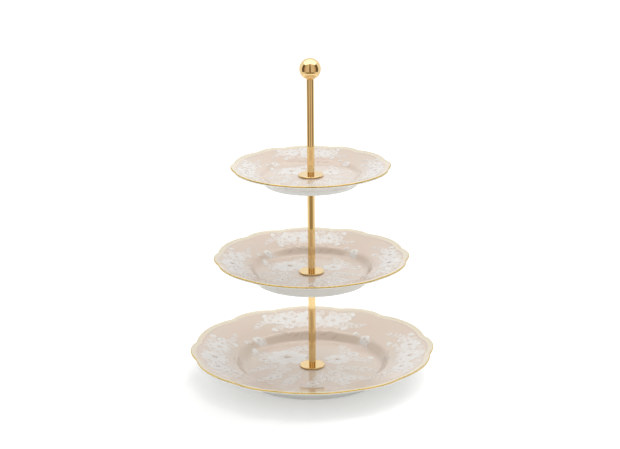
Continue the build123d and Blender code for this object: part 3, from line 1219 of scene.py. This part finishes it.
def dim_in_mirrors(tree):
    """Past the lit patch round the stand, glossy rays see the table painted with the room's tones:
    a painted reflection, dark and warm towards the front and white towards the walls.
    """
    surface = tree.nodes["Material Output"].inputs["Surface"]
    lit = surface.links[0].from_socket
    place = add(tree, "NewGeometry", -300, -600).outputs["Position"]
    room = place_group(tree, "Mirrored room", build_mirrored_room, 0, -600, Towards=place)
    away = add(tree, "VectorMath", 0, -800, {0: place}, operation="LENGTH").outputs["Value"]
    side = spread(tree, room["Bearing"], 0.16, 0.46, 200, -500, smooth=True)
    painted_near_tone = mix_colours(tree, side, PAINTED_REFLECTION_FRONT, PAINTED_REFLECTION_WALLS, 400, -500)
    far_off = spread(tree, away, 0.72, 0.86, 200, -650, smooth=True)
    tone = mix_colours(tree, far_off, painted_near_tone, room["Colour"], 600, -600)
    painted_reflection = add(tree, "Emission", 800, -600, {"Color": tone, "Strength": 1.0}).outputs[0]
    past = spread(tree, away, 0.34, 0.40, 200, -800, smooth=True)
    ray = add(tree, "LightPath", 200, -1000).outputs
    # Only glossy rays past the lit patch see the painted reflection; all other rays see the lit
    # table.
    mirrored = reckon(tree, "MULTIPLY", 450, -800, past, ray["Is Glossy Ray"])
    mixed = add(tree, "MixShader", 700, -300, {0: mirrored, 1: lit, 2: painted_reflection})
    feed(tree, surface, mixed.outputs[0])


def light_studio(look):
    scrim = bpy.data.lights.new("scrim", "SUN")
    scrim.energy = look.key
    scrim.angle = look.key_spread
    holder = place_object("scrim", scrim)
    holder.rotation_euler = Vector(KEY_HEADING).to_track_quat("-Z", "Y").to_euler()
    holder.visible_glossy = False
    build_walls(look)


def overhead_panel(tree, direction):
    """1 where a direction meets the long softbox overhead, 0 elsewhere."""
    across = reckon(tree, "DIVIDE", -650, -350, direction["X"], direction["Z"])
    along = reckon(tree, "DIVIDE", -650, -550, direction["Y"], direction["Z"])
    edges = ((across, -1.25, -1.1), (across, 1.25, 1.1), (along, -0.53, -0.45),
             (along, 0.85, 0.70), (direction["Z"], 0.0, 0.05))
    panel = None
    for i, (reach, outside, inside) in enumerate(edges):
        y = -350 - 100 * i
        side = spread(tree, reach, outside, inside, -450, y, smooth=True)
        panel = reckon(tree, "MULTIPLY", -250, y, panel, side) if i else side
    return panel


def build_mirrored_room(name):
    """What the gold mirrors, by bearing from the front: the dim room there, dark flags at the
    sides and white walls behind."""
    tree, given, out = new_group(
        name, [("Towards", "Vector", None)], [("Colour", "Color"), ("Bearing", "Float")])
    axes = add(tree, "SeparateXYZ", -700, 0, {0: given["Towards"]}).outputs
    ahead = reckon(tree, "MULTIPLY", -520, -100, axes["Y"], -1.0)
    bearing = reckon(tree, "ARCTAN2", -340, 0, axes["X"], ahead)
    either = reckon(tree, "ABSOLUTE", -160, 0, bearing)
    share = reckon(tree, "DIVIDE", 20, 0, either, math.pi)
    tones = add(tree, "ValToRGB", 200, 0, {"Fac": share})
    stops = tones.color_ramp.elements
    stops.remove(stops[-1])
    for i, (place, tone) in enumerate(ROOM_TONES):
        stop = stops.new(place) if i else stops[0]
        stop.position = place
        stop.color = (*tone, 1)
    feed(tree, out["Colour"], tones.outputs["Color"])
    feed(tree, out["Bearing"], share)
    return tree


def build_walls(look):
    """White walls that light the stand, with the dark of the room in front of it for the gold
    to mirror."""
    world = bpy.data.worlds.new("White studio")
    bpy.context.scene.world = world
    world.use_nodes = True
    tree = world.node_tree
    tree.nodes.clear()
    place = add(tree, "TexCoord", -900, -200).outputs["Generated"]
    high = overhead_panel(tree, add(tree, "SeparateXYZ", -700, -200, {0: place}).outputs)
    room = place_group(tree, "Mirrored room", build_mirrored_room, -450, -100, Towards=place)
    mirrored = mix_colours(tree, high, room["Colour"], WHITE, 0, -200)
    boost = reckon(tree, "MULTIPLY_ADD", 0, -420, high, PANEL_BOOST, 1.0)
    walls, gloss, backdrop = (
        add(tree, "Background", 250, y, {"Color": colour, "Strength": strength}).outputs[0]
        for y, colour, strength in (
            (150, WHITE, look.fill), (0, mirrored, boost), (-150, WHITE, BACKDROP)))
    ray = add(tree, "LightPath", 0, 400).outputs
    shiny = add(tree, "MixShader", 480, 80, {0: ray["Is Glossy Ray"], 1: walls, 2: gloss})
    seen = add(tree, "MixShader", 700, 0,
               {0: ray["Is Camera Ray"], 1: shiny.outputs[0], 2: backdrop})
    add(tree, "OutputWorld", 900, 0, {"Surface": seen.outputs[0]})


def set_camera(look):
    camera = bpy.data.cameras.new("camera")
    camera.lens = look.lens
    camera.sensor_width = FULL_FRAME_MM
    camera.clip_end = 50
    holder = place_object("camera", camera)
    tilt = Matrix.Rotation(math.pi / 2 - look.camera_pitch, 4, "X")
    roll = Matrix.Rotation(look.camera_roll, 4, "Z")
    place = Matrix.Translation((CAMERA_ASIDE, -look.camera_distance, look.camera_height))
    holder.matrix_world = place @ tilt @ roll
    bpy.context.scene.camera = holder


class STAND_OT_plates(StandOperator, bpy.types.Operator):
    """Makes the three lobed plates in glazed porcelain"""
    bl_idname = "stand.plates"
    bl_label = "Plates"

    def execute(self, context):
        material = material_once("Glazed porcelain", make_porcelain)
        for plate in PLATES:
            build_plate(plate, material)
        return {"FINISHED"}


class STAND_OT_gilding(StandOperator, bpy.types.Operator):
    """Gilds the edge of each plate"""
    bl_idname = "stand.gilding"
    bl_label = "Gilding"

    def execute(self, context):
        material = material_once("Burnished gold", make_gilding)
        for plate in PLATES:
            build_gilt_band(plate, material)
        return {"FINISHED"}


class STAND_OT_flowers(StandOperator, bpy.types.Operator):
    """Lays the raised white flowers on each plate"""
    bl_idname = "stand.flowers"
    bl_label = "Flowers"

    def execute(self, context):
        material = material_once("White enamel", make_enamel)
        for plate in PLATES:
            build_flowers(plate, material)
        return {"FINISHED"}


class STAND_OT_tubes(StandOperator, bpy.types.Operator):
    """Makes the stem's plated tubes and finishes the inserts in their ends"""
    bl_idname = "stand.tubes"
    bl_label = "Tubes"

    def execute(self, context):
        plated = material_once("Gold plate", make_gold_plate)
        brass = material_once("Raw brass", make_raw_brass)
        for stage in ("lower", "middle", "top"):
            node = stage + "_tube"
            corners = ring_corners(node, TUBE_BORE, 0.25)
            piece = turned_piece(node + "_plated", corners, stage + "_stem", plated)
            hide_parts(node)
            for end in ("foot", "head"):
                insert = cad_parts[f"{node}_{end}_insert"]
                insert.data.materials.clear()
                insert.data.materials.append(brass)
        return {"FINISHED"}


class STAND_OT_discs(StandOperator, bpy.types.Operator):
    """Turns the polished disc that covers the middle of each plate"""
    bl_idname = "stand.discs"
    bl_label = "Cover discs"

    def execute(self, context):
        plated = material_once("Gold plate", make_gold_plate)
        for node, body in (("bottom_disc", "lower_collar"), ("middle_disc", "middle_collar"),
                           ("top_disc", "top_collar")):
            r, z0, z1 = extent(node)
            corners = [(SCREW_CLEAR, z0, 0), (r, z0, 0.2), (r, z1, 0.55), (SCREW_CLEAR, z1, 0.1)]
            piece = turned_piece(node + "_polished", corners, body, plated, steps=8)
            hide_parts(node)
        return {"FINISHED"}


class STAND_OT_finial(StandOperator, bpy.types.Operator):
    """Turns the ball that the stand is lifted by"""
    bl_idname = "stand.finial"
    bl_label = "Finial"

    def execute(self, context):
        plated = material_once("Gold plate", make_gold_plate)
        _, z0, _ = extent("finial_ball")
        tap_end = z0 + BALL_TAP_DEPTH
        centre = z0 + math.sqrt(BALL**2 - BALL_SEAT**2)
        start = -math.acos(BALL_SEAT / BALL)
        section = [(0, tap_end), (BALL_TAP, tap_end), (BALL_TAP, z0 + 0.15),
                   (BALL_TAP + 0.15, z0), (BALL_SEAT - 0.08, z0)]
        section += [(BALL * math.cos(a), centre + BALL * math.sin(a))
                    for a in np.linspace(start, math.pi / 2, 72)[:-1]]
        section.append((0, centre + BALL))
        vertices, faces = spin(section, context.scene.stand_stem.columns, False)
        piece = new_piece("finial_ball_polished", vertices, faces, "finial", plated, 35)
        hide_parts("finial_ball")
        return {"FINISHED"}


class STAND_OT_studs(StandOperator, bpy.types.Operator):
    """Cuts the helical threads of the studs that join the tubes"""
    bl_idname = "stand.studs"
    bl_label = "Studs"

    def execute(self, context):
        zinc = material_once("Zinc plate", make_zinc)
        for node, body in (("middle_stud", "lower_stem"), ("top_stud", "middle_stem"),
                           ("finial_stud", "finial_screw")):
            build_stud(node, body, zinc)
        return {"FINISHED"}


class STAND_OT_fittings(StandOperator, bpy.types.Operator):
    """Makes the supports, seals, bushes, washer and base screw"""
    bl_idname = "stand.fittings"
    bl_label = "Fittings"

    def execute(self, context):
        brass = material_once("Raw brass", make_raw_brass)
        rubber = material_once("Black rubber", make_rubber)
        nylon = material_once("Nylon", make_nylon)
        zinc = material_once("Zinc plate", make_zinc)
        rings = (
            ("middle_support", "lower_stem", SCREW_CLEAR, 0.3, brass, "plain_brass"),
            ("top_support", "middle_stem", SCREW_CLEAR, 0.3, brass, "plain_brass"),
            ("middle_seal", "lower_stem", HOLE, 0.3, rubber, "rubber"),
            ("top_seal", "middle_stem", HOLE, 0.3, rubber, "rubber"),
            ("base_seal", "base", HOLE, 0.2, rubber, "rubber"),
            ("base_washer", "base", SCREW_CLEAR, 0.15, zinc, "steel"),
        )
        for node, body, inner, blend, material, slot in rings:
            piece = turned_piece(node + "_turned", ring_corners(node, inner, blend), body, material)
            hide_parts(node)
        for node, body in (("bottom_bush", "base"), ("middle_bush", "middle_tier"),
                           ("top_bush", "top_tier")):
            r, z0, z1 = extent(node)
            flange = z1 - BUSH_FLANGE_HEIGHT
            corners = [(SCREW_CLEAR, z0, 0.1), (BUSH_SLEEVE, z0, 0.3), (BUSH_SLEEVE, flange, 0.1),
                       (r, flange, 0.15), (r, z1, 0.15), (SCREW_CLEAR, z1, 0.1)]
            piece = turned_piece(node + "_moulded", corners, body, nylon)
            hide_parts(node)
        build_base_screw(zinc)
        return {"FINISHED"}


def build_base_screw(material):
    """The pan head screw under the bottom plate: a crowned head with a cross drive and a thread."""
    _, z0, z1 = extent("base_screw")
    top = z0 + SCREW_HEAD_HEIGHT
    corners = [(0, z0, 0), (2.6, z0, 0.2), (SCREW_HEAD, z0 + SCREW_HEAD_HEIGHT / 2, 0.5),
               (SCREW_HEAD, top, 0.12), (0, top, 0)]
    cap = turned_piece("base_screw_head", corners, "base", material, closed=False)
    cut_with(cap, cross_recess(z0, reach=2.1, width=1.0, depth=0.95))
    mark_sharp(cap.data, 30)
    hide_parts("base_screw")
    start = top - 0.2
    shank = threaded_pin("base_screw_shank", start, z1 - start, SCREW, "base", material)
    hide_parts("base_screw")


class STAND_PT_panel(bpy.types.Panel):
    """The stand's pieces and settings"""
    bl_idname = "STAND_PT_panel"
    bl_label = "Cake Stand"
    bl_space_type = "VIEW_3D"
    bl_region_type = "UI"
    bl_category = "Cake Stand"

    def draw(self, context):
        for operator in OPERATORS:
            self.layout.operator(operator.bl_idname)
        for name, settings in SETTINGS.items():
            box = self.layout.box()
            box.label(text=name.replace("stand_", "").capitalize())
            for prop in settings.__annotations__:
                box.prop(getattr(context.scene, name), prop)


OPERATORS = (STAND_OT_stage, STAND_OT_plates, STAND_OT_gilding, STAND_OT_flowers,
             STAND_OT_tubes, STAND_OT_discs, STAND_OT_finial, STAND_OT_studs, STAND_OT_fittings)
SETTINGS = {
    "stand_porcelain": PorcelainSettings,
    "stand_gilding": GildingSettings,
    "stand_flowers": FlowerSettings,
    "stand_stem": StemSettings,
    "stand_studio": StudioSettings,
}


def register():
    for settings in SETTINGS.values():
        bpy.utils.register_class(settings)
    for operator in OPERATORS:
        bpy.utils.register_class(operator)
    bpy.utils.register_class(STAND_PT_panel)
    for name, settings in SETTINGS.items():
        setattr(bpy.types.Scene, name, PointerProperty(type=settings))


def unregister():
    for name in SETTINGS:
        delattr(bpy.types.Scene, name)
    bpy.utils.unregister_class(STAND_PT_panel)
    for operator in reversed(OPERATORS):
        bpy.utils.unregister_class(operator)
    for settings in reversed(SETTINGS.values()):
        bpy.utils.unregister_class(settings)


def main():
    register()
    bpy.ops.stand.stage()
    bpy.ops.stand.plates()
    bpy.ops.stand.gilding()
    bpy.ops.stand.flowers()
    bpy.ops.stand.tubes()
    bpy.ops.stand.discs()
    bpy.ops.stand.finial()
    bpy.ops.stand.studs()
    bpy.ops.stand.fittings()


if __name__ == "__main__":
    main()
